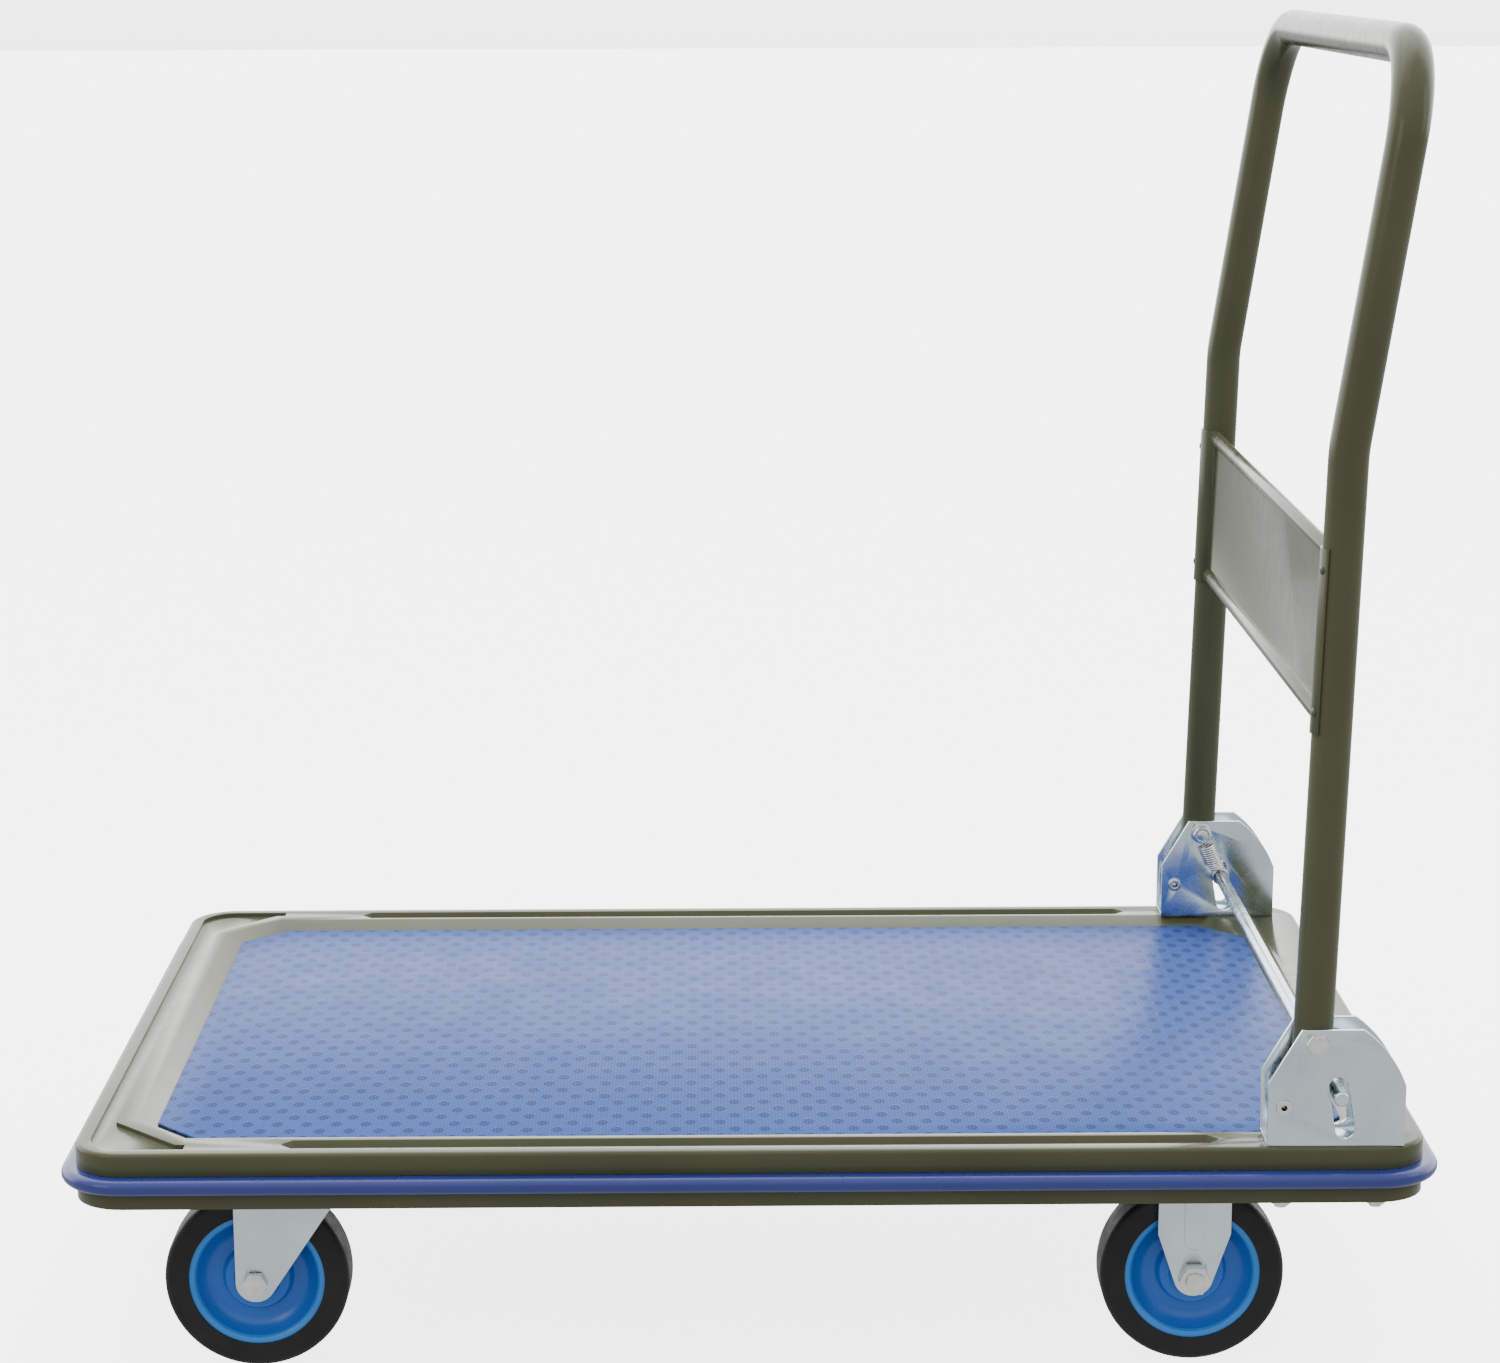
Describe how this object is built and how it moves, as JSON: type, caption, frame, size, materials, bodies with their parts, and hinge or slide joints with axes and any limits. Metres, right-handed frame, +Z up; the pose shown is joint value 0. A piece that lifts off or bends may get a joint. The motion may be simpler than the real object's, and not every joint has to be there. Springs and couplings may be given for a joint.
{
  "type": "folding platform cart",
  "caption": "Folding platform cart: pressed steel deck with vinyl mat and bumper, fold-down loop handle with foot-bar lock, swivel and rigid casters.",
  "frame": {"origin": "on the floor under the middle of the cart's outer box", "axes": "+X towards the handle end, +Y towards the right side as seen from the handle looking along the deck, +Z up"},
  "size_m": [0.909, 0.606, 0.8959],
  "materials": {
    "green_paint": "gloss olive enamel",
    "blue_vinyl": "embossed vinyl sheet",
    "blue_bumper": "gloss soft PVC",
    "zinc_plate": "blue-white zinc plating",
    "bright_fastener": "bright zinc",
    "tyre_rubber": "moulded rubber",
    "blue_rim": "moulded plastic"
  },
  "bodies": {
    "deck": {"deck_pan": "green_paint", "deck_mat": "blue_vinyl", "bumper": "blue_bumper", "cross_channel_front": "green_paint", "cross_channel_rear": "green_paint", "spine_channel": "green_paint", "hinge_bracket_left": "zinc_plate", "hinge_bracket_right": "zinc_plate", "bracket_bolts": "bright_fastener", "bracket_nuts": "bright_fastener", "bracket_sleeves": "bright_fastener", "pivot_bolts": "bright_fastener", "pivot_washers": "bright_fastener", "pivot_nuts": "bright_fastener", "stop_rivets": "bright_fastener", "spring_left": "bright_fastener", "spring_right": "bright_fastener", "swivel_plate_left": "zinc_plate", "swivel_plate_right": "zinc_plate", "swivel_balls_left": "bright_fastener", "swivel_balls_right": "bright_fastener", "rigid_fork_left": "zinc_plate", "rigid_fork_right": "zinc_plate", "caster_bolts": "bright_fastener", "caster_nuts": "bright_fastener", "rigid_axles": "bright_fastener", "rigid_axle_nuts": "bright_fastener", "rigid_sleeves": "bright_fastener"},
    "handle": {"handle_tube": "green_paint", "handle_panel": "green_paint", "panel_rivets": "green_paint", "pivot_bushings": "bright_fastener"},
    "foot_bar": {"foot_bar": "zinc_plate", "foot_bar_clips": "zinc_plate"},
    "swivel_left": {"swivel_fork_left": "zinc_plate", "kingpin_left": "bright_fastener", "swivel_axle_left": "bright_fastener", "swivel_axle_nut_left": "bright_fastener", "swivel_sleeve_left": "bright_fastener"},
    "swivel_right": {"swivel_fork_right": "zinc_plate", "kingpin_right": "bright_fastener", "swivel_axle_right": "bright_fastener", "swivel_axle_nut_right": "bright_fastener", "swivel_sleeve_right": "bright_fastener"},
    "wheel_swivel_left": {"tyre_swivel_left": "tyre_rubber", "rim_swivel_left": "blue_rim"},
    "wheel_swivel_right": {"tyre_swivel_right": "tyre_rubber", "rim_swivel_right": "blue_rim"},
    "wheel_rigid_left": {"tyre_rigid_left": "tyre_rubber", "rim_rigid_left": "blue_rim"},
    "wheel_rigid_right": {"tyre_rigid_right": "tyre_rubber", "rim_rigid_right": "blue_rim"}
  },
  "joints": [
    {"name": "handle_fold", "type": "hinge", "parent": "deck", "child": "handle", "pos_m": [0.367, 0, 0.249], "axis": [0, -1, 0], "range_deg": [0, 98]},
    {"name": "foot_bar_press", "type": "slide", "parent": "deck", "child": "foot_bar", "axis": [0.1702, 0, -0.9854], "range_m": [0, 0.021], "stiffness_N_per_m": 2400, "springref_m": -0.012, "deforming": ["spring_left", "spring_right"]},
    {"name": "swivel_left_turn", "type": "hinge", "parent": "deck", "child": "swivel_left", "pos_m": [-0.2945, -0.203, 0.14], "axis": [0, 0, 1], "continuous": true},
    {"name": "swivel_right_turn", "type": "hinge", "parent": "deck", "child": "swivel_right", "pos_m": [-0.2945, 0.203, 0.14], "axis": [0, 0, 1], "continuous": true},
    {"name": "wheel_swivel_left_roll", "type": "hinge", "parent": "swivel_left", "child": "wheel_swivel_left", "pos_m": [-0.3345, -0.203, 0.0625], "axis": [0, 1, 0], "continuous": true},
    {"name": "wheel_swivel_right_roll", "type": "hinge", "parent": "swivel_right", "child": "wheel_swivel_right", "pos_m": [-0.3345, 0.203, 0.0625], "axis": [0, 1, 0], "continuous": true},
    {"name": "wheel_rigid_left_roll", "type": "hinge", "parent": "deck", "child": "wheel_rigid_left", "pos_m": [0.3005, -0.203, 0.0625], "axis": [0, 1, 0], "continuous": true},
    {"name": "wheel_rigid_right_roll", "type": "hinge", "parent": "deck", "child": "wheel_rigid_right", "pos_m": [0.3005, 0.203, 0.0625], "axis": [0, 1, 0], "continuous": true}
  ]
}
